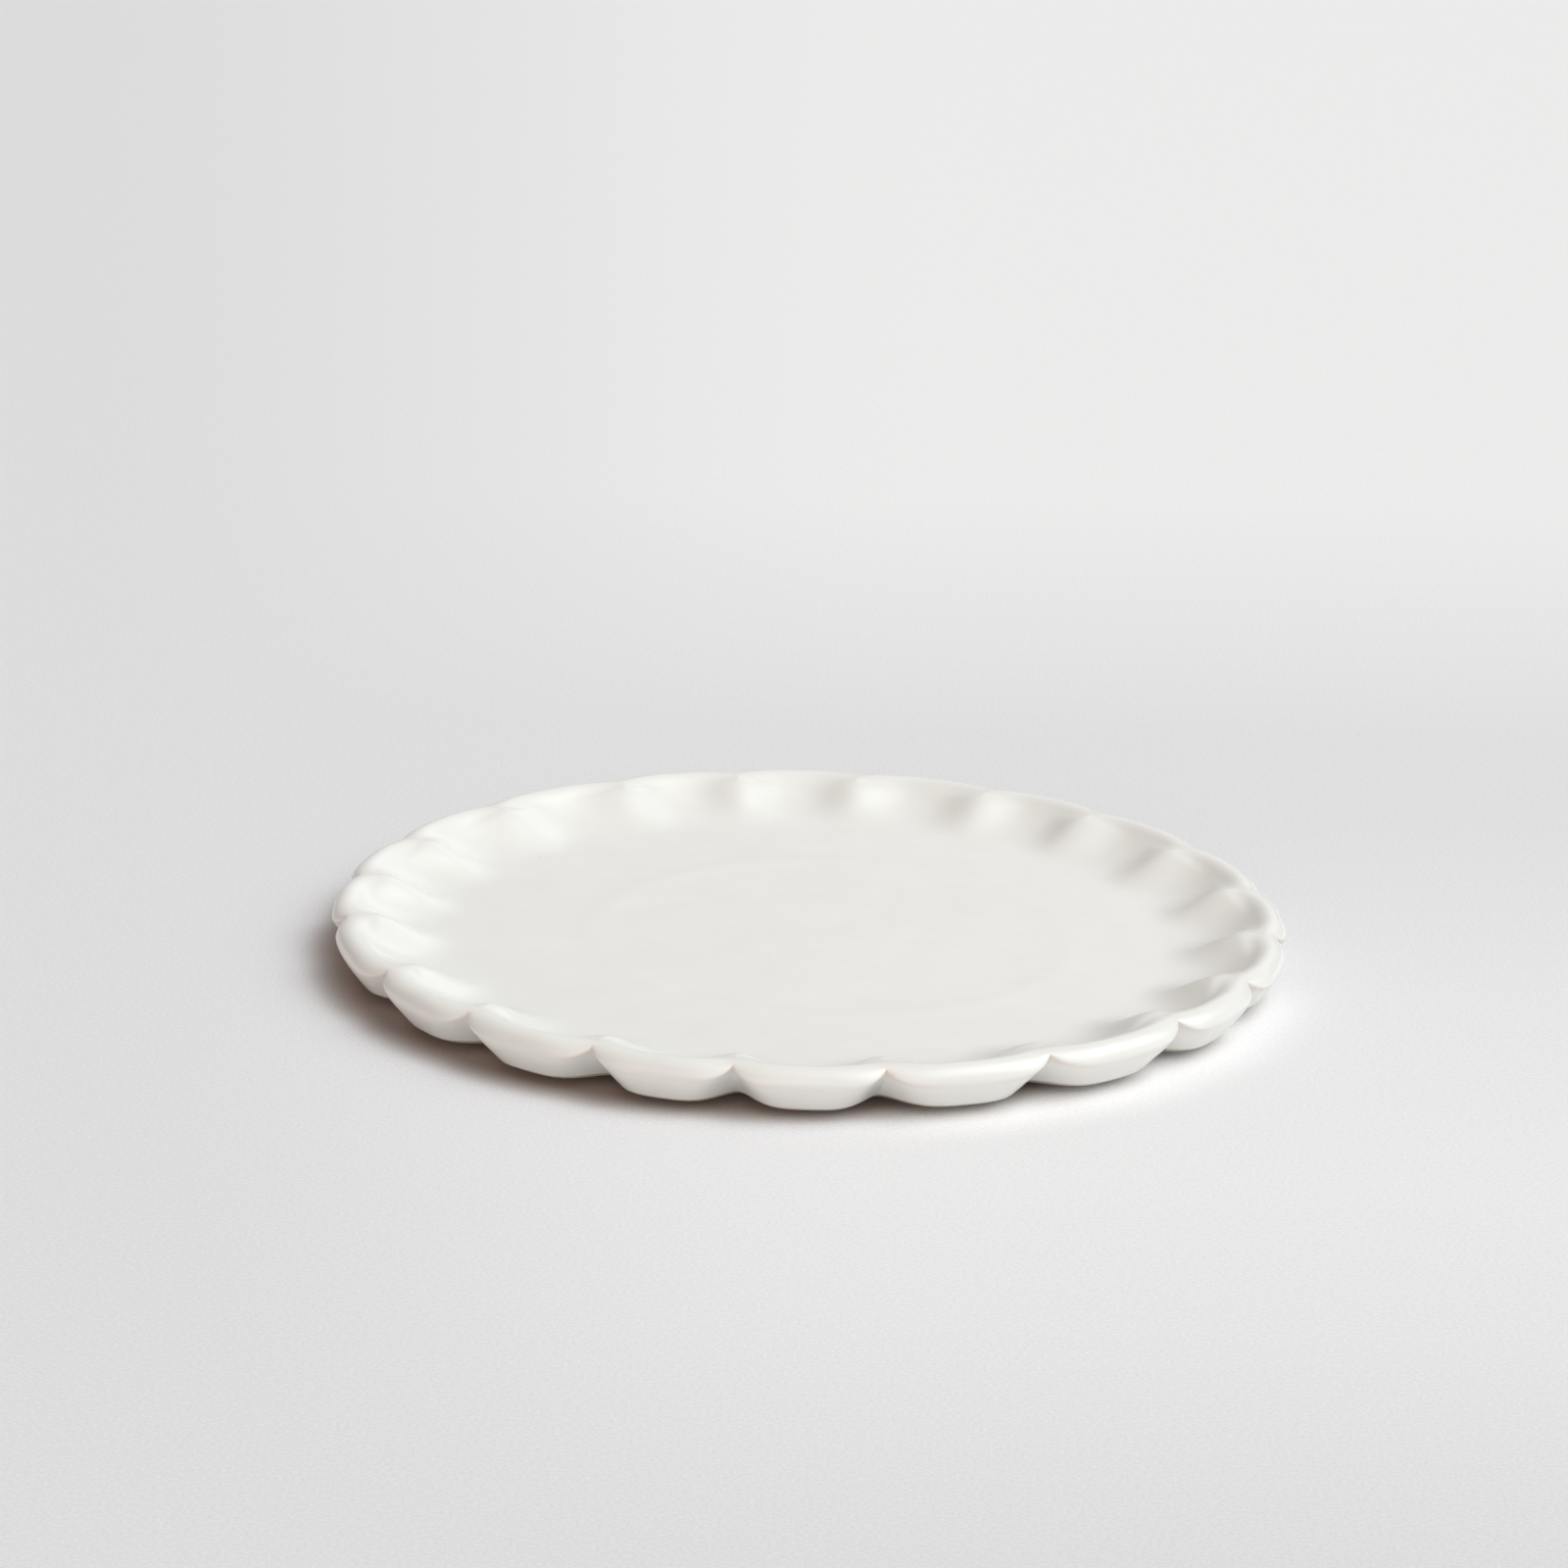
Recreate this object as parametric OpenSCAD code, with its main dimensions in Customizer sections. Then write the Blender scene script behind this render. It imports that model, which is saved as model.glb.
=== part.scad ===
// Scalloped dessert plate in glazed stoneware: a pressed clay plate with fluted lobes round its edge,
// a clay foot ring luted underneath, and the fired glaze coats on the face, the underside and the base.
// Origin at the centre of the resting plane, +Z up, +X to the right of the camera that stands at -Y.

/* [Plate] */
// Overall diameter across the lobes
plate_d = 200; // [160:1:260]
// Number of lobes round the edge
lobe_count = 20; // [12:1:28]
// Turn of the first notch from the +X axis, in degrees
first_notch = 172.5; // [0:0.5:359.5]

/* [Lip and wall] */
// Width of the lip's roll from its crest out to the lobe's widest place
lip_w = 3; // [2:0.1:5]
// Drop from the lip's crest to the lobe's widest place
lip_drop = 3; // [2:0.1:4]
// Width of the lip's roll from its crest in to the flute
lip_in_w = 2.6; // [1.5:0.1:3.5]
// Drop from the lip's crest to where the flute starts
lip_in_drop = 1; // [0.5:0.1:1.5]
// How far a notch draws the lip's crest in
crest_draw = 2; // [1:0.1:4]
// Depth of a notch in plan at the lobe's widest place
notch_depth = 3; // [1.5:0.1:4]
// Drop from the lip's crest to the point of a notch
notch_drop = 0.6; // [0.3:0.1:1.5]
// Height of the wall's bottom edge over the table
edge_h = 1.6; // [0.8:0.1:3]
// How far the wall leans in from its widest place to its bottom edge
wall_lean = 4; // [1:0.1:8]
// How gently the wall turns from upright into that lean, as a share of its height
wall_ease = 0.1; // [0.05:0.05:0.6]
// Depth of the groove under a notch, in plan at the wall's bottom edge
groove_depth = 7.5; // [3:0.1:8]

/* [Well and flutes] */
// Diameter of the flat floor
well_d = 146; // [110:1:170]
// Depth of the flat floor under the lip's crest
well_depth = 6.4; // [5:0.1:9]
// Drop of the ridge between two flutes where it leaves the lip
ridge_drop = 0.15; // [0:0.05:0.5]

/* [Clay and glaze] */
// Thickness of the clay under the flat floor
floor_t = 2.7; // [2.5:0.1:4]
// Thickness of the glaze
glaze_t = 0.3; // [0.2:0.05:0.4]
// Width of the bare clay line along the wall's bottom edge, where the glaze breaks
bare_w = 0.4; // [0.2:0.1:1]
// Width of the bare clay band wiped beside the foot ring
wiped_w = 0.6; // [0.3:0.1:2]

/* [Foot ring] */
// Outer diameter of the foot ring
foot_d = 118; // [90:1:140]
// Height of the foot ring
foot_h = 1.6; // [1.2:0.1:3]
// Width of the foot ring
foot_w = 5.5; // [4:0.1:12]
// Radius of the foot ring's lower corners
foot_round = 0.8; // [0.3:0.1:1]

/* [Hidden] */

tip_r = plate_d / 2;
well_r = well_d / 2;
foot_r = foot_d / 2;
crest_r = tip_r - lip_w;
floor_z = foot_h + floor_t + glaze_t;
plate_h = floor_z + well_depth;
wall_h = plate_h - edge_h;

// Sides of the turned circles and of the foot ring's corners
turned_sides = 160;
corner_sides = 48;

// The flute rises from the floor as a power of its run: the middle late and steep, like a spoon's end,
// the ridge between two flutes early and softly
scoop_power = 3;
ridge_power = 1.3;

// Places of the rings of points along the flute, round the roll in degrees, and down the wall
flute_shares = [0, 0.35, 0.62, 0.84];
roll_angles = [60, 30, 0];
wall_share = 0.3;

// How sharply a lobe ends at its notch, 2 for a parabola, and how much of that end is rounded off:
// the ridges are soft, the lip's notch is sharp, and the groove under it opens out again
flute_power = 3;
flute_round_share = 0.9;
crest_power = 3;
crest_round_share = 0.55;
notch_power = 4.5;
notch_round_share = 0;
edge_power = 3.4;
edge_round_share = 0.95;
// How far from the lobe's middle the rounded part of its end stays broad, as a share of its power
round_ratio = 0.57;

// The lobes were pressed by hand, so their widths differ: shares of an even pitch, lobe by lobe
width_shares = [
    0.9, 1.15, 0.96, 1, 0.93, 0.96, 1.1, 1.1, 0.95, 1,
    1, 1, 1, 0.95, 1.05, 0.95, 0.95, 1.15, 1, 0.9
];

// Places of the points across one lobe, from a notch at -1 to the next at 1
across_shares = [-1, -0.85, -0.6, -0.3, 0, 0.3, 0.6, 0.85];

function mix(a, b, share) = a + (b - a) * share;
function sum(list, count) = count <= 0 ? 0 : list[(count - 1) % len(list)] + sum(list, count - 1);
function lobe_width(i) = 360 * width_shares[i % len(width_shares)] / sum(width_shares, lobe_count);
function lobe_start(i) = first_notch + 360 * sum(width_shares, i) / sum(width_shares, lobe_count);

// Each column of points is its angle round the plate and its place across its lobe
columns = [
    for (i = [0 : lobe_count - 1])
        for (u = across_shares)
            [lobe_start(i) + lobe_width(i) * (u + 1) / 2, u]
];
column_count = len(columns);

// A place on the skin is a row: radius and height in a lobe's middle, radius and height at a notch,
// the power of the lobe's end and its rounded share
function row(r_lobe, z_lobe, r_notch, z_notch, power, round_share) =
    [r_lobe, z_lobe, r_notch, z_notch, power, round_share];

// 1 in the lobe's middle, 0 at its notches
function bulge(u, power, round_share) =
    mix(1 - pow(abs(u), power), (1 + cos(180 * pow(abs(u), power * round_ratio))) / 2, round_share);

function skin_point(row, column) =
    let (
        b = bulge(column[1], row[4], row[5]),
        r = mix(row[2], row[0], b),
        z = mix(row[3], row[1], b)
    )
    [r * cos(column[0]), r * sin(column[0]), z];

function skin_points(rows) = [for (row = rows) for (column = columns) skin_point(row, column)];

// The glazed face from the floor's edge, up the flutes, over the lip and down the wall
flute_rows = [
    for (s = flute_shares)
        row(mix(well_r, crest_r - lip_in_w, s),
            floor_z + (well_depth - lip_in_drop) * pow(s, scoop_power),
            mix(well_r, crest_r - crest_draw - lip_in_w, s),
            floor_z + (well_depth - ridge_drop) * (1 - cos(180 * pow(s, ridge_power))) / 2,
            flute_power, flute_round_share)
];
crest_rows = [
    row(crest_r - lip_in_w, plate_h - lip_in_drop,
        crest_r - crest_draw - lip_in_w, plate_h - ridge_drop, crest_power, crest_round_share),
    row(crest_r - lip_in_w / 2, plate_h - lip_in_drop / 4,
        crest_r - crest_draw - lip_in_w / 2, plate_h - ridge_drop / 4, crest_power, crest_round_share),
    row(crest_r, plate_h, crest_r - crest_draw, plate_h, crest_power, crest_round_share)
];
notch_w = lip_w + crest_draw - notch_depth;
roll_rows = [
    for (a = roll_angles)
        row(crest_r + lip_w * cos(a), plate_h - lip_drop * (1 - sin(a)),
            crest_r - crest_draw + notch_w * cos(a), plate_h - notch_drop * (1 - sin(a)),
            mix(notch_power, crest_power, sin(a)), mix(notch_round_share, crest_round_share, sin(a)))
];
function eased(share) = (norm([share, wall_ease]) - wall_ease) / (norm([1, wall_ease]) - wall_ease);
// The wall runs straight from the lip's sharp notches down to the groove's round ones
function groove_share(share) = share * groove_depth / mix(notch_depth, groove_depth, share);
function wall_row(share) =
    row(tip_r - wall_lean * eased(share),
        plate_h - mix(lip_drop, wall_h, share),
        tip_r - mix(notch_depth, wall_lean + groove_depth, share),
        plate_h - mix(notch_drop, wall_h, share),
        mix(notch_power, edge_power, groove_share(share)),
        mix(notch_round_share, edge_round_share, groove_share(share)));
glaze_end_share = 1 - bare_w / (wall_h - lip_drop);
face_rows = concat(flute_rows, crest_rows, roll_rows, [
    wall_row(wall_share),
    wall_row(glaze_end_share)
]);
last = len(face_rows) - 1;

// The clay lies one glaze thickness under the glaze, square to the section at each place
function section_normal(rows, i, k) =
    let (
        before = rows[max(i - 1, 0)],
        after = rows[min(i + 1, len(rows) - 1)],
        dr = after[k] - before[k],
        dz = after[k + 1] - before[k + 1]
    )
    i == 0 ? [0, 1] : [-dz, dr] / norm([dr, dz]);
function sunk_row(rows, i, depth) =
    let (
        at_lobe = section_normal(rows, i, 0) * depth,
        at_notch = section_normal(rows, i, 2) * depth
    )
    row(rows[i][0] - at_lobe[0], rows[i][1] - at_lobe[1],
        rows[i][2] - at_notch[0], rows[i][3] - at_notch[1], rows[i][4], rows[i][5]);
clay_face_rows = [for (i = [0 : last]) sunk_row(face_rows, i, glaze_t)];

// The bare line along the wall's bottom edge, and the underside from there to a true circle and on
// to the foot ring, with its clay set back by the glaze that ends flush with the bare line
edge_r = tip_r - wall_lean - glaze_t;
edge_row = row(edge_r, edge_h, edge_r - groove_depth, edge_h, edge_power, edge_round_share);
under_r = edge_r - groove_depth - lip_w;
join_r = foot_r + wiped_w;
under_rows = [
    row(edge_r - bare_w, edge_h + glaze_t, edge_r - groove_depth - bare_w, edge_h + glaze_t,
        edge_power, edge_round_share),
    row(under_r, mix(foot_h, edge_h + glaze_t, (under_r - join_r) / (edge_r - join_r)),
        under_r, mix(foot_h, edge_h + glaze_t, (under_r - join_r) / (edge_r - join_r)),
        edge_power, edge_round_share),
    row(join_r, foot_h, join_r, foot_h, edge_power, edge_round_share)
];
under_glaze_rows = [
    for (under = under_rows)
        row(under[0], under[1] - glaze_t, under[2], under[3] - glaze_t, edge_power, edge_round_share)
];

// Triangles between neighbouring rings of points, wound to face out or in on the same diagonals
function wound(triangle, outward) = outward ? triangle : [triangle[2], triangle[1], triangle[0]];
function band(upper, lower, outward) = [
    for (j = [0 : column_count - 1])
        let (
            k = (j + 1) % column_count,
            a = upper * column_count + j,
            b = upper * column_count + k,
            c = lower * column_count + k,
            d = lower * column_count + j
        )
        for (triangle = [[a, b, c], [a, c, d]])
            wound(triangle, outward)
];
function bands(first, count, outward) = [
    for (i = [first : first + count - 2])
        for (triangle = band(i, i + 1, outward))
            triangle
];
// A fan from a middle point closes a ring
function fan(ring, middle, outward) = [
    for (j = [0 : column_count - 1])
        wound([ring * column_count + j, middle, ring * column_count + (j + 1) % column_count], outward)
];

module clay_body() {
    rows = concat(clay_face_rows, [edge_row], under_rows);
    points = concat(skin_points(rows), [[0, 0, floor_z - glaze_t], [0, 0, foot_h]]);
    top = len(rows) * column_count;
    color("#d9c9b6")
        polyhedron(points, concat(
            bands(0, len(rows), true),
            fan(0, top, true),
            fan(len(rows) - 1, top + 1, false)
        ));
}

module face_glaze() {
    count = len(face_rows);
    points = concat(skin_points(face_rows), skin_points(clay_face_rows), [[0, 0, floor_z], [0, 0, floor_z - glaze_t]]);
    top = 2 * count * column_count;
    color("#e8e7e2")
        polyhedron(points, concat(
            bands(0, count, true),
            fan(0, top, true),
            bands(count, count, false),
            fan(count, top + 1, false),
            band(count - 1, 2 * count - 1, true)
        ));
}

module underside_glaze() {
    count = len(under_rows);
    points = concat(skin_points(under_rows), skin_points(under_glaze_rows));
    color("#e6e5e0")
        polyhedron(points, concat(
            bands(0, count, false),
            bands(count, count, true),
            band(0, count, true),
            band(count - 1, 2 * count - 1, false)
        ));
}

// The foot ring: a luted coil of clay, turned true, with a bare flat to rest on between two round corners
module foot_ring() {
    color("#d3c1ab")
        rotate_extrude($fn = turned_sides) {
            translate([foot_r - foot_w, foot_round])
                square([foot_w, foot_h - foot_round]);
            translate([foot_r - foot_w + foot_round, 0])
                square([foot_w - 2 * foot_round, foot_round]);
            for (r = [foot_r - foot_w + foot_round, foot_r - foot_round])
                translate([r, foot_round])
                    circle(r = foot_round, $fn = corner_sides);
        }
}

module base_glaze() {
    color("#e6e5e0")
        translate([0, 0, foot_h - glaze_t])
            cylinder(h = glaze_t, r = foot_r - foot_w - wiped_w, $fn = turned_sides);
}

clay_body();
foot_ring();
face_glaze();
underside_glaze();
base_glaze();
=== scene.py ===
# Scalloped dessert plate in white glazed stoneware: twenty pressed lobes, a soft rolled lip, and a bare
# turned foot. The plate's lengths are in millimetres, as in the CAD model, and turn to metres as a mesh is
# made. The paper's are in metres.
import math

import bpy
import numpy as np
from mathutils import Matrix, Vector


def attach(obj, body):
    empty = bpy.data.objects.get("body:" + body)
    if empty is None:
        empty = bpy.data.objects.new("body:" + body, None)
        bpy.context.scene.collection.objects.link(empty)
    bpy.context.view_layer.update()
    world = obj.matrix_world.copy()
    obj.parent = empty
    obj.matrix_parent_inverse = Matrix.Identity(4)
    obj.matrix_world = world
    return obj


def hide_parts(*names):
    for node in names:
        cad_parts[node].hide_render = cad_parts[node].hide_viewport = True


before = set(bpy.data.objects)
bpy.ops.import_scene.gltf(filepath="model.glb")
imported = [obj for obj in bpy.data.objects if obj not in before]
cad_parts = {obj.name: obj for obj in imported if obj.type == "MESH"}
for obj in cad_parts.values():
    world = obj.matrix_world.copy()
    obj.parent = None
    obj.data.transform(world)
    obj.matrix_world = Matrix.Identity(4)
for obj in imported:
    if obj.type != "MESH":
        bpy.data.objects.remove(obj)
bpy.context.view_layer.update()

MM = 0.001

# The plate's sizes, as in the CAD model
PLATE_D = 200
FIRST_NOTCH = 172.5
LIP_W = 3
LIP_DROP = 3
LIP_IN_W = 2.6
LIP_IN_DROP = 1
CREST_DRAW = 2
NOTCH_DEPTH = 3
NOTCH_DROP = 0.6
EDGE_H = 1.6
WALL_LEAN = 4
GROOVE_DEPTH = 7.5
WELL_D = 146
WELL_DEPTH = 6.4
RIDGE_DROP = 0.15
FLOOR_T = 2.7
GLAZE_T = 0.3
BARE_W = 0.4
WIPED_W = 0.6
FOOT_D = 118
FOOT_H = 1.6
SCOOP_POWER = 3
RIDGE_POWER = 1.3
ROUND_RATIO = 0.57
CREST_POWER, CREST_ROUND = 3, 0.55
EDGE_POWER, EDGE_ROUND = 3.4, 0.95
WIDTH_SHARES = [
    0.9, 1.15, 0.96, 1, 0.93, 0.96, 1.1, 1.1, 0.95, 1,
    1, 1, 1, 0.95, 1.05, 0.95, 0.95, 1.15, 1, 0.9,
]

# What differs from the CAD model, because the melt has run a little fuller than the clay under it: the flutes
# meet in softer ridges, the lobes stand fuller beside their notches, and the crease below the lip is eased
FLUTE_POWER, FLUTE_ROUND = 2.4, 1
NOTCH_POWER, NOTCH_ROUND = 6, 0
WALL_EASE = 0.25

# What follows from the sizes
TIP_R = PLATE_D / 2
WELL_R = WELL_D / 2
FOOT_R = FOOT_D / 2
CREST_R = TIP_R - LIP_W
FLOOR_Z = FOOT_H + FLOOR_T + GLAZE_T
PLATE_H = FLOOR_Z + WELL_DEPTH
WALL_H = PLATE_H - EDGE_H
NOTCH_W = LIP_W + CREST_DRAW - NOTCH_DEPTH
GLAZE_END = 1 - BARE_W / (WALL_H - LIP_DROP)
EDGE_R = TIP_R - WALL_LEAN - GLAZE_T
UNDER_R = EDGE_R - GROOVE_DEPTH - LIP_W
JOIN_R = FOOT_R + WIPED_W

# A low ring left by the potter's finger as the floor was thrown, a little off the plate's middle
RING_R = 50
RING_MIDDLE = (5, -0.5)
RING_H = 0.1
RING_HALF_W = 3

# The clay's bare bottom edge is softened with a sponge: how high and wide, and how far it swells out above
ARRIS = 0.25
ARRIS_SWELL = 0.03

# How finely the skin is drawn: points across a lobe, and rings along each stretch of the section. The
# floor's rings are closest where the thrown ring is.
ACROSS = 24
FLOOR_RADII = [12, 24, 36] + [40 + 1.3 * i for i in range(15)] + [64, WELL_R]
FLOOR_RINGS = len(FLOOR_RADII)
FLUTE_RINGS = 30
CREST_RINGS = 6
ROLL_RINGS = 12
WALL_RINGS = 16
UNDER_RINGS = 8
BASE_RADII = [50, 30, 10]

# How thin the glaze has run, from 0 for a full coat to 1 for none: on the ridges' tops, over the whole lip,
# at its outer side, in its notches, as painted shade in the crease below it, and along the wall's bare edge
RIDGE_THIN = 0.35
LIP_THIN = 0.02
LIP_SIDE_THIN = 0.12
NOTCH_THIN = 0.1
# Painted shade, darker and warmer in the crease below the lip
PAINTED_CREASE_SHADE = 0.42
EDGE_THIN = 0.9
# Where that crease is and how broad, as shares of the wall's height
CREASE_AT = 0.08
CREASE_SPREAD = 0.1


def mix(a, b, share):
    return a + (b - a) * share


def smooth(t):
    t = min(max(t, 0), 1)
    return t * t * (3 - 2 * t)


def row(r_lobe, z_lobe, r_notch, z_notch, power, rounded):
    """A place on the skin: radius and height in a lobe's middle and at a notch, and how a lobe ends."""
    return (r_lobe, z_lobe, r_notch, z_notch, power, rounded)


def lobe_columns():
    """Each column's angle in radians and its place across its lobe, closer together near a notch."""
    total = sum(WIDTH_SHARES)
    angles, places = [], []
    start = FIRST_NOTCH
    for share in WIDTH_SHARES:
        width = 360 * share / total
        for k in range(ACROSS):
            u = math.sin(math.pi / 2 * (2 * k / ACROSS - 1))
            angles.append(math.radians(start + width * (u + 1) / 2))
            places.append(u)
        start += width
    return np.array(angles), np.array(places)


ANGLES, PLACES = lobe_columns()


def skin_points(rows):
    """The points of every row at every column, in metres."""
    table = np.array(rows, float)[:, :, None]
    power, rounded = table[:, 4], table[:, 5]
    away = np.abs(PLACES)
    bulge = mix(1 - away**power, (1 + np.cos(np.pi * away**(power * ROUND_RATIO))) / 2, rounded)
    r = mix(table[:, 2], table[:, 0], bulge)
    z = mix(table[:, 3], table[:, 1], bulge)
    return np.stack([r * np.cos(ANGLES), r * np.sin(ANGLES), z], axis=2) * MM


def hermite(t, rise, start_slope):
    """From -rise up to 0 as t goes from 0 to 1, leaving at start_slope and ending level."""
    return -rise * (1 - smooth(t)) + start_slope * (t**3 - 2 * t**2 + t)


def floor_rows():
    return [row(r, FLOOR_Z, r, FLOOR_Z, FLUTE_POWER, FLUTE_ROUND) for r in FLOOR_RADII]


def flute_rows():
    """The scooped flutes and the ridges between them, which sharpen just before the lip."""
    rows = []
    for i in range(1, FLUTE_RINGS + 1):
        s = i / FLUTE_RINGS
        sharp = smooth((s - 0.88) / 0.12)
        rows.append(row(
            mix(WELL_R, CREST_R - LIP_IN_W, s),
            FLOOR_Z + (WELL_DEPTH - LIP_IN_DROP) * s**SCOOP_POWER,
            mix(WELL_R, CREST_R - CREST_DRAW - LIP_IN_W, s),
            FLOOR_Z + (WELL_DEPTH - RIDGE_DROP) * (1 - math.cos(math.pi * s**RIDGE_POWER)) / 2,
            mix(FLUTE_POWER, CREST_POWER, sharp),
            mix(FLUTE_ROUND, CREST_ROUND, sharp),
        ))
    return rows


def crest_rows():
    """The lip's inner side, from the flutes up to its crest."""
    rows = []
    run = CREST_R - LIP_IN_W - WELL_R
    slope = (WELL_DEPTH - LIP_IN_DROP) * SCOOP_POWER / run * LIP_IN_W
    for i in range(1, CREST_RINGS + 1):
        t = i / CREST_RINGS
        r = -LIP_IN_W * (1 - t)
        rows.append(row(
            CREST_R + r, PLATE_H + hermite(t, LIP_IN_DROP, slope),
            CREST_R - CREST_DRAW + r, PLATE_H + hermite(t, RIDGE_DROP, 0),
            CREST_POWER, CREST_ROUND,
        ))
    return rows


def roll_rows():
    """The lip's roll, a quarter turn from its crest out to the widest place."""
    rows = []
    for i in range(1, ROLL_RINGS + 1):
        a = math.pi / 2 * (1 - i / ROLL_RINGS)
        level = math.sin(a)
        rows.append(row(
            CREST_R + LIP_W * math.cos(a), PLATE_H - LIP_DROP * (1 - level),
            CREST_R - CREST_DRAW + NOTCH_W * math.cos(a), PLATE_H - NOTCH_DROP * (1 - level),
            mix(NOTCH_POWER, CREST_POWER, level), mix(NOTCH_ROUND, CREST_ROUND, level),
        ))
    return rows


def eased(share):
    """The wall's way in at a share of its height: slow at first, then even."""
    return (math.hypot(share, WALL_EASE) - WALL_EASE) / (math.hypot(1, WALL_EASE) - WALL_EASE)


def wall_row(share):
    """A ring on the wall, at a share of its height down. The CAD model doesn't ease the grooves."""
    grooved = share * GROOVE_DEPTH / mix(NOTCH_DEPTH, GROOVE_DEPTH, share)
    return row(
        TIP_R - WALL_LEAN * eased(share),
        PLATE_H - mix(LIP_DROP, WALL_H, share),
        TIP_R - mix(NOTCH_DEPTH, WALL_LEAN + GROOVE_DEPTH, eased(share)),
        PLATE_H - mix(NOTCH_DROP, WALL_H, share),
        mix(NOTCH_POWER, EDGE_POWER, grooved),
        mix(NOTCH_ROUND, EDGE_ROUND, grooved),
    )


def edge_row(inward, z):
    """A ring around the clay's bottom edge, moved in from it by inward."""
    return row(EDGE_R - inward, z, EDGE_R - GROOVE_DEPTH - inward, z, EDGE_POWER, EDGE_ROUND)


def round_row(r, z):
    return row(r, z, r, z, EDGE_POWER, EDGE_ROUND)


def between(first, last, count):
    """Rows from first to last, without first."""
    a, b = np.array(first, float), np.array(last, float)
    return [tuple(mix(a, b, i / count)) for i in range(1, count + 1)]


def sunk(rows, depth):
    """The rows moved in by depth, square to the section at each."""
    table = np.array(rows, float)
    moved = table.copy()
    for k in (0, 2):
        run = np.gradient(table[:, k])
        rise = np.gradient(table[:, k + 1])
        length = np.hypot(run, rise)
        moved[:, k] += depth * rise / length
        moved[:, k + 1] -= depth * run / length
    return [tuple(r) for r in moved]


def lowered(rows, depth):
    return [(r[0], r[1] - depth, r[2], r[3] - depth, r[4], r[5]) for r in rows]


def loft(name, rows, ring=False):
    """A closed mesh through the rows: poles at both ends, or the last row joined to the first in a ring."""
    points = skin_points(rows)
    count, across = points.shape[:2]
    verts = points.reshape(-1, 3).tolist()
    faces = []
    for i in range(count if ring else count - 1):
        upper = i * across
        lower = (i + 1) % count * across
        for j in range(across):
            k = (j + 1) % across
            faces.append((lower + j, lower + k, upper + k, upper + j))
    if not ring:
        for first, pole_row in ((0, rows[0]), ((count - 1) * across, rows[-1])):
            pole = len(verts)
            verts.append((0, 0, pole_row[1] * MM))
            for j in range(across):
                k = (j + 1) % across
                corner = (first + j, first + k, pole) if first == 0 else (first + k, first + j, pole)
                faces.append(corner)
    mesh = bpy.data.meshes.new(name)
    mesh.from_pydata(verts, [], faces)
    mesh.shade_smooth()
    mesh.update()
    piece = bpy.data.objects.new(name, mesh)
    bpy.context.scene.collection.objects.link(piece)
    return piece


def raise_thrown_ring(shell):
    """The thrown ring, raised on the points of the shell's floor."""
    points = np.empty(len(shell.data.vertices) * 3)
    shell.data.vertices.foreach_get("co", points)
    points = points.reshape(-1, 3) / MM
    from_middle = np.hypot(points[:, 0] - RING_MIDDLE[0], points[:, 1] - RING_MIDDLE[1])
    off = (from_middle - RING_R) / RING_HALF_W
    on_floor = np.abs(points[:, 2] - FLOOR_Z) < GLAZE_T / 3
    points[:, 2] += np.where(on_floor, RING_H * np.exp(-off**2), 0)
    shell.data.vertices.foreach_set("co", (points * MM).ravel())
    shell.data.update()


def thin_glaze_and_crease_shade(face_count):
    """How thin the glaze has run at each corner of the face shell, from 0 for a full coat to 1, with painted
    shade in the crease below the lip.
    """
    start_roll = FLOOR_RINGS + FLUTE_RINGS + CREST_RINGS
    start_wall = start_roll + ROLL_RINGS
    away = np.abs(PLACES)
    values = np.zeros((2 * face_count, len(PLACES)))
    for i in range(FLOOR_RINGS, face_count):
        if i < start_roll:
            s = (i - FLOOR_RINGS) / (start_roll - FLOOR_RINGS)
            values[i] = RIDGE_THIN * smooth((s - 0.75) / 0.25) * away**8
        elif i < start_wall:
            t = (i - start_roll + 1) / ROLL_RINGS
            values[i] = LIP_THIN + LIP_SIDE_THIN * t**3 * away**2 + NOTCH_THIN * away**12
        else:
            s = (i - start_wall + 1) / WALL_RINGS
            # Painted shade in the crease below the lip, darker near the notches
            crease = math.exp(-((s - CREASE_AT) / CREASE_SPREAD)**2) * (0.25 + 0.75 * away**2)
            values[i] = PAINTED_CREASE_SHADE * crease + EDGE_THIN * smooth((s - 0.95) / 0.05)
    return values.ravel().tolist() + [0, 0]


def linear(hex_colour):
    """An sRGB hex colour as the linear colour that a shader takes."""
    parts = [int(hex_colour[i:i + 2], 16) / 255 for i in (1, 3, 5)]
    return [p / 12.92 if p <= 0.04045 else ((p + 0.055) / 1.055) ** 2.4 for p in parts] + [1]


def add(tree, kind, sockets=None, **settings):
    """A node with its own settings; each socket takes a value, or the output that feeds it."""
    node = tree.nodes.new(kind)
    for key, value in settings.items():
        setattr(node, key, value)
    for key, value in (sockets or {}).items():
        if isinstance(value, bpy.types.NodeSocket):
            tree.links.new(value, node.inputs[key])
        else:
            node.inputs[key].default_value = value
    return node


def material(name):
    made = bpy.data.materials.new(name)
    made.use_nodes = True
    made.node_tree.nodes.clear()
    return made


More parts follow.
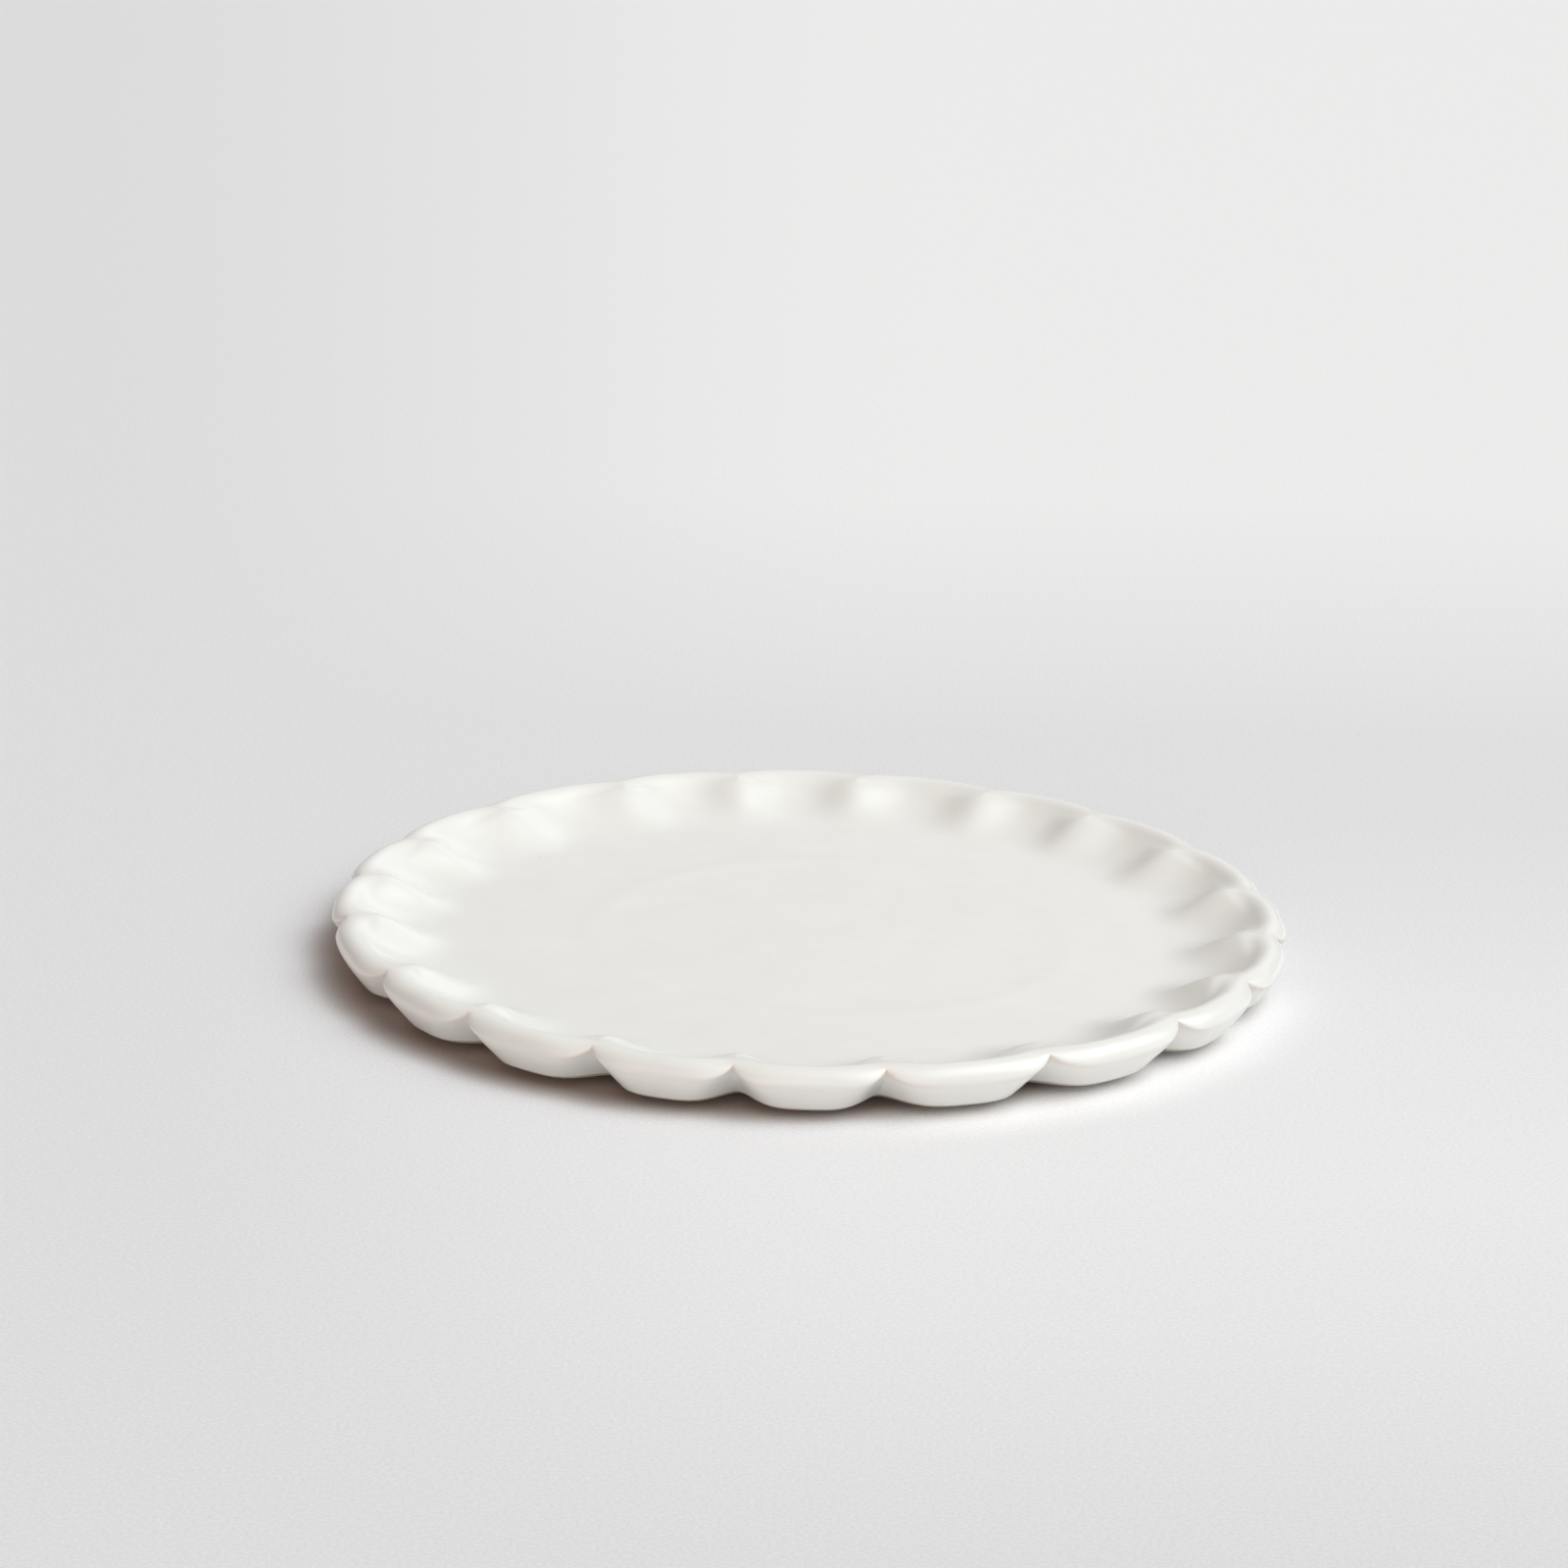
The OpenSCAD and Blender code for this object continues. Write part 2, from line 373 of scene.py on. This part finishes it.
def glossy_white_glaze():
    """Tin-white stoneware glaze, dipped and fired glossy: milky where thick, warm where thin and in a painted
    crease shade.
    """
    cloud_w = 12
    speck_w = 0.35
    speck_apart = 14
    wave_w = 5
    made = material("glossy_white_glaze")
    tree = made.node_tree
    place = add(tree, "ShaderNodeTexCoord")
    # Where the glaze has run thin over the lip, each corner of the mesh says how thin; the same values paint
    # shade in the crease below it
    thin = add(tree, "ShaderNodeAttribute", attribute_name="thin")
    # Clouding in the melt, in patches about 12 mm wide
    cloud = add(tree, "ShaderNodeTexNoise", {
        "Vector": place.outputs["Object"], "Scale": 1 / (cloud_w * MM), "Detail": 3, "Roughness": 0.55,
    })
    patch = add(tree, "ShaderNodeMapRange", {
        "Value": cloud.outputs["Fac"], "From Min": 0.3, "From Max": 0.7, "To Min": 0.5, "To Max": 1.3,
    })
    glaze_break_and_crease_shade = add(tree, "ShaderNodeMath", {
        0: thin.outputs["Fac"], 1: patch.outputs["Result"],
    }, operation="MULTIPLY")
    milky = add(tree, "ShaderNodeMix", {
        0: cloud.outputs["Fac"], 6: linear("#E3E2DE"), 7: linear("#EAE9E6"),
    }, data_type="RGBA")
    warmed = add(tree, "ShaderNodeMix", {
        0: glaze_break_and_crease_shade.outputs[0], 6: milky.outputs[2], 7: linear("#D6BFAD"),
    }, data_type="RGBA")
    # Iron specks from the clay, 0.2 mm wide and drawn at 0.35 mm to show, about one in each 14 mm
    grid = add(tree, "ShaderNodeTexVoronoi", {
        "Vector": place.outputs["Object"], "Scale": 1 / (speck_apart * MM), "Randomness": 1,
    })
    speck = add(tree, "ShaderNodeMapRange", {
        "Value": grid.outputs["Distance"],
        "From Min": speck_w / speck_apart * 0.5, "From Max": speck_w / speck_apart,
        "To Min": 0.35, "To Max": 0,
    })
    specked = add(tree, "ShaderNodeMix", {
        0: speck.outputs["Result"], 6: warmed.outputs[2], 7: linear("#A08C78"),
    }, data_type="RGBA")
    # The skin of the melt isn't quite flat: waves about 5 mm long and a few hundredths deep
    wave = add(tree, "ShaderNodeTexNoise", {
        "Vector": place.outputs["Object"], "Scale": 1 / (wave_w * MM), "Detail": 1, "Roughness": 0.4,
    })
    skin = add(tree, "ShaderNodeBump", {
        "Height": wave.outputs["Fac"], "Strength": 0.25, "Distance": 0.12 * MM,
    })
    shader = add(tree, "ShaderNodeBsdfPrincipled", {
        "Base Color": specked.outputs[2], "Roughness": 0.24, "IOR": 1.5, "Normal": skin.outputs["Normal"],
    })
    add(tree, "ShaderNodeOutputMaterial", {"Surface": shader.outputs["BSDF"]})
    return made


def bare_buff_stoneware():
    """Unglazed stoneware, wiped and turned: dry, warm buff, with a fine grog that catches the light."""
    grog_w = 0.6
    made = material("bare_buff_stoneware")
    tree = made.node_tree
    place = add(tree, "ShaderNodeTexCoord")
    # Grog grains of 0.3 mm, drawn at 0.6 mm to show
    grog = add(tree, "ShaderNodeTexNoise", {
        "Vector": place.outputs["Object"], "Scale": 1 / (grog_w * MM), "Detail": 2, "Roughness": 0.6,
    })
    buff = add(tree, "ShaderNodeMix", {
        0: grog.outputs["Fac"], 6: linear("#C3AE97"), 7: linear("#DDCDB9"),
    }, data_type="RGBA")
    tooth = add(tree, "ShaderNodeBump", {
        "Height": grog.outputs["Fac"], "Strength": 0.4, "Distance": 0.08 * MM,
    })
    shader = add(tree, "ShaderNodeBsdfPrincipled", {
        "Base Color": buff.outputs[2], "Roughness": 0.75, "IOR": 1.5, "Normal": tooth.outputs["Normal"],
    })
    add(tree, "ShaderNodeOutputMaterial", {"Surface": shader.outputs["BSDF"]})
    return made


# A painted pool of light on the paper, from in front of the plate to behind it: each place is metres behind
# the plate's middle, with how bright the paper is painted there
POOL_START = -0.3
POOL_LENGTH = 0.9
PAINTED_POOL_TONES = [
    (-0.28, 0), (-0.19, 0.6), (-0.12, 0.85), (-0.02, 0.65),
    (0.1, 0.2), (0.17, 0.15), (0.25, 0.5), (0.42, 1),
]


def matt_paper():
    """Heavy drawing paper under the plate, matt and felt-grained, with painted light and shade on it."""
    grain_w = 0.7
    made = material("matt_paper")
    tree = made.node_tree
    place = add(tree, "ShaderNodeTexCoord")
    parts = add(tree, "ShaderNodeSeparateXYZ", {"Vector": place.outputs["Object"]})
    depth = add(tree, "ShaderNodeMapRange", {
        "Value": parts.outputs["Y"],
        "From Min": POOL_START, "From Max": POOL_START + POOL_LENGTH, "To Min": 0, "To Max": 1,
    })
    # The painted pool of light, paler and darker from front to back as the tones say
    pool = add(tree, "ShaderNodeValToRGB", {"Fac": depth.outputs["Result"]})
    while len(pool.color_ramp.elements) < len(PAINTED_POOL_TONES):
        pool.color_ramp.elements.new(0.5)
    for stop, (y, tone) in zip(pool.color_ramp.elements, PAINTED_POOL_TONES):
        stop.position = (y - POOL_START) / POOL_LENGTH
        stop.color = (tone, tone, tone, 1)
    # Painted shade along the left, in a wedge on the paper that starts 0.9 m in front and widens to the back
    away = add(tree, "ShaderNodeMath", {0: parts.outputs["Y"], 1: 0.9}, operation="ADD")
    turn = add(tree, "ShaderNodeMath", {0: parts.outputs["X"], 1: away.outputs[0]}, operation="DIVIDE")
    side = add(tree, "ShaderNodeMapRange", {
        "Value": turn.outputs[0], "From Min": -0.17, "From Max": 0.03, "To Min": 0, "To Max": 1,
    }, interpolation_type="SMOOTHSTEP")
    painted_light_and_shade = add(tree, "ShaderNodeMath", {
        0: pool.outputs["Color"], 1: side.outputs["Result"],
    }, operation="MULTIPLY")
    # A painted glow on the paper to the right, in front, standing for the light that the plate's polished
    # side throws there
    flat = add(tree, "ShaderNodeCombineXYZ", {"X": parts.outputs["X"], "Y": parts.outputs["Y"]})
    reach = add(tree, "ShaderNodeVectorMath", {0: flat.outputs["Vector"]}, operation="LENGTH")
    facing = add(tree, "ShaderNodeVectorMath", {
        0: flat.outputs["Vector"], 1: (0.7, -0.714, 0),
    }, operation="DOT_PRODUCT")
    ahead = add(tree, "ShaderNodeMath", {
        0: facing.outputs["Value"], 1: reach.outputs["Value"],
    }, operation="DIVIDE")
    sweep = add(tree, "ShaderNodeMapRange", {
        "Value": ahead.outputs[0], "From Min": 0.72, "From Max": 0.95, "To Min": 0, "To Max": 0.68,
    }, interpolation_type="SMOOTHSTEP")
    fade = add(tree, "ShaderNodeMapRange", {
        "Value": reach.outputs["Value"], "From Min": 0.098, "From Max": 0.112, "To Min": 1, "To Max": 0,
    }, interpolation_type="SMOOTHSTEP")
    painted_glow = add(tree, "ShaderNodeMath", {
        0: sweep.outputs["Result"], 1: fade.outputs["Result"],
    }, operation="MULTIPLY")
    # Felt grain of 0.3 mm, drawn at 0.7 mm to show
    grain = add(tree, "ShaderNodeTexNoise", {
        "Vector": place.outputs["Object"], "Scale": 1 / (grain_w * MM), "Detail": 2, "Roughness": 0.6,
    })
    # The paper's two tones, mixed by the painted pool of light and the painted shade on the left
    plain = add(tree, "ShaderNodeMix", {
        0: painted_light_and_shade.outputs[0], 6: linear("#DCDBDD"), 7: linear("#EBEAEB"),
    }, data_type="RGBA")
    # The painted glow, laid over the paper as a near-white colour
    paper_with_painted_glow = add(tree, "ShaderNodeMix", {
        0: painted_glow.outputs[0], 6: plain.outputs[2], 7: linear("#F9F8F9"),
    }, data_type="RGBA")
    # A painted shadow: the deep of the plate's shade, off to the left, painted darker and warmer than these
    # soft lights leave it
    below = add(tree, "ShaderNodeVectorMath", {
        0: flat.outputs["Vector"], 1: (-0.0092, -0.0025, 0),
    }, operation="DISTANCE")
    deep = add(tree, "ShaderNodeMapRange", {
        "Value": below.outputs["Value"], "From Min": 0.087, "From Max": 0.098, "To Min": 1, "To Max": 0,
    }, interpolation_type="SMOOTHSTEP")
    # That painted shadow is seen and mirrored, but it throws no colour back on the plate
    ray = add(tree, "ShaderNodeLightPath")
    mirrored = add(tree, "ShaderNodeMath", {
        0: ray.outputs["Is Glossy Ray"], 1: ray.outputs["Is Transmission Ray"],
    }, operation="MAXIMUM")
    looked_at = add(tree, "ShaderNodeMath", {
        0: ray.outputs["Is Camera Ray"], 1: mirrored.outputs[0],
    }, operation="MAXIMUM")
    painted_shadow_mask = add(tree, "ShaderNodeMath", {
        0: deep.outputs["Result"], 1: looked_at.outputs[0],
    }, operation="MULTIPLY")
    # The painted shadow's warm dark colour, laid over the paper
    shaded = add(tree, "ShaderNodeMix", {
        0: painted_shadow_mask.outputs[0], 6: paper_with_painted_glow.outputs[2], 7: linear("#A08F87"),
    }, data_type="RGBA")
    tooth = add(tree, "ShaderNodeMapRange", {
        "Value": grain.outputs["Fac"], "From Min": 0.3, "From Max": 0.7, "To Min": 0.945, "To Max": 1.055,
    })
    grained = add(tree, "ShaderNodeVectorMath", {
        0: shaded.outputs[2], "Scale": tooth.outputs["Result"],
    }, operation="SCALE")
    shader = add(tree, "ShaderNodeBsdfPrincipled", {
        "Base Color": grained.outputs["Vector"], "Roughness": 0.9, "Specular IOR Level": 0.1,
    })
    # From underneath, the paper is clear, so that the plate's foot can be seen
    clear = add(tree, "ShaderNodeBsdfTransparent")
    back = add(tree, "ShaderNodeNewGeometry")
    seen = add(tree, "ShaderNodeMixShader", {
        0: back.outputs["Backfacing"], 1: shader.outputs["BSDF"], 2: clear.outputs["BSDF"],
    })
    add(tree, "ShaderNodeOutputMaterial", {"Surface": seen.outputs["Shader"]})
    return made


# The glaze over the face: one shell from the middle of the well, over the lip, to its bead on the wall
face = floor_rows() + flute_rows() + crest_rows() + roll_rows()
face += [wall_row(GLAZE_END * i / WALL_RINGS) for i in range(1, WALL_RINGS + 1)]
clay_face = sunk(face, GLAZE_T)
face_glaze = loft("face_glaze_coat", face + clay_face[::-1])
# The thin attribute carries the glaze's thinning and the painted shade in the crease below the lip
face_glaze.data.attributes.new("thin", "FLOAT", "POINT").data.foreach_set("value", thin_glaze_and_crease_shade(len(face)))
raise_thrown_ring(face_glaze)

# The clay: under the glaze, bare along the wall's bottom edge, and on under the plate
arris = [
    edge_row(-ARRIS_SWELL, EDGE_H + ARRIS),
    edge_row(ARRIS * 0.3, EDGE_H + ARRIS * 0.25),
    edge_row(ARRIS, EDGE_H),
]
under_z = mix(FOOT_H, EDGE_H + GLAZE_T, (UNDER_R - JOIN_R) / (EDGE_R - JOIN_R))
under = [edge_row(BARE_W, EDGE_H + GLAZE_T)]
under += between(under[-1], round_row(UNDER_R, under_z), UNDER_RINGS)
under += between(under[-1], round_row(JOIN_R, FOOT_H), UNDER_RINGS)
base = [round_row(r, FOOT_H) for r in BASE_RADII]
clay_body = loft("pressed_clay_body", clay_face + arris + under + base)

# The glaze under the plate: a coat in a ring, from the bare edge to the band wiped clean beside the foot
underside_glaze = loft("underside_glaze_coat", lowered(under, GLAZE_T) + under[::-1], ring=True)

glaze = glossy_white_glaze()
clay = bare_buff_stoneware()
for piece, finish, stands_for, slot in (
    (face_glaze, glaze, "face_glaze", "white_glaze"),
    (clay_body, clay, "clay_body", "bare_clay"),
    (underside_glaze, glaze, "underside_glaze", "white_glaze"),
):
    piece.data.materials.append(finish)
    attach(piece, "root")
    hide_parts(stands_for)
# The turned foot ring and the glaze inside it are the CAD pieces, with these finishes
for name, finish in (("foot_ring", clay), ("base_glaze", glaze)):
    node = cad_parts[name]
    node.data.materials.clear()
    node.data.materials.append(finish)

scene = bpy.context.scene
scene.view_settings.view_transform = "Standard"

# The camera, as far off and as low as the photograph's, with its slight tilt
FOCAL_PX = 4503
FRAME_PX = 1600
SENSOR = 36
PITCH = math.radians(16.96)
ROLL = math.radians(1.53)
CAMERA_AT = Vector((-6.1, -879.8, PLATE_H + 294.5)) * MM
forward = Vector((0, math.cos(PITCH), -math.sin(PITCH)))
right = Vector((1, 0, 0))
up = Vector((0, math.sin(PITCH), math.cos(PITCH)))
turned_right = right * math.cos(ROLL) + up * math.sin(ROLL)
turned_up = up * math.cos(ROLL) - right * math.sin(ROLL)
axes = Matrix((turned_right, turned_up, -forward)).transposed().to_4x4()
camera_data = bpy.data.cameras.new("camera")
camera_data.sensor_width = SENSOR
camera_data.lens = FOCAL_PX / FRAME_PX * SENSOR
camera = bpy.data.objects.new("camera", camera_data)
scene.collection.objects.link(camera)
camera.matrix_world = Matrix.Translation(CAMERA_AT) @ axes
scene.camera = camera

# The floor: pale paper, wide enough to fill the picture, in metres
FLOOR_HALF = 2.5
floor_corners = [
    (-FLOOR_HALF, -FLOOR_HALF, 0),
    (FLOOR_HALF, -FLOOR_HALF, 0),
    (FLOOR_HALF, FLOOR_HALF, 0),
    (-FLOOR_HALF, FLOOR_HALF, 0),
]
floor_mesh = bpy.data.meshes.new("floor")
floor_mesh.from_pydata(floor_corners, [], [(0, 1, 2, 3)])
floor = bpy.data.objects.new("floor", floor_mesh)
scene.collection.objects.link(floor)
floor_mesh.materials.append(matt_paper())

# The room's light: a few broad soft sources far off, each with its bearing (degrees from the right, round
# to the back), its height in degrees, how tightly it is gathered, its colour and its strength
SOFT_SOURCES = [
    ("window high on the right", 4, 50, 18, "#FBFFFF", 4.4),
    ("white wall low in front", 261, 6, 12, "#FBFFF9", 2.4),
    ("white wall on the front right", 336, 46, 9, "#FDFFFF", 2.85),
    ("wooden shelf low on the left", 220, 6, 13, "#FFD6C2", 1.7),
    ("pale wall behind", 105, 50, 7, "#FFF4EE", 0.45),
    ("window behind", 74, 23, 36, "#FFFFFF", 0.9),
    ("skirting behind", 95, 8, 9, "#FFFFFF", 0.5),
    ("ceiling", 190, 60, 2, "#FFFFFF", 0.2),
]
ROOM_LEVEL = 0.95
world = bpy.data.worlds.new("room")
scene.world = world
world.use_nodes = True
tree = world.node_tree
tree.nodes.clear()
way = add(tree, "ShaderNodeTexCoord")
total = None
for label, bearing, height, gathered, tint, strength in SOFT_SOURCES:
    turn, rise = math.radians(bearing), math.radians(height)
    towards = (math.cos(turn) * math.cos(rise), math.sin(turn) * math.cos(rise), math.sin(rise))
    near = add(tree, "ShaderNodeVectorMath", {
        0: way.outputs["Generated"], 1: towards,
    }, operation="DOT_PRODUCT")
    short = add(tree, "ShaderNodeMath", {0: near.outputs["Value"], 1: 1}, operation="SUBTRACT")
    spread = add(tree, "ShaderNodeMath", {0: short.outputs[0], 1: gathered}, operation="MULTIPLY")
    falloff = add(tree, "ShaderNodeMath", {0: spread.outputs[0]}, operation="EXPONENT")
    level = add(tree, "ShaderNodeMath", {0: falloff.outputs[0], 1: strength}, operation="MULTIPLY")
    share = add(tree, "ShaderNodeVectorMath", {
        0: linear(tint)[:3], "Scale": level.outputs[0],
    }, operation="SCALE", label=label)
    total = share if total is None else add(tree, "ShaderNodeVectorMath", {
        0: total.outputs["Vector"], 1: share.outputs["Vector"],
    }, operation="ADD")
room = add(tree, "ShaderNodeBackground", {"Color": total.outputs["Vector"], "Strength": ROOM_LEVEL})
add(tree, "ShaderNodeOutputWorld", {"Surface": room.outputs["Background"]})
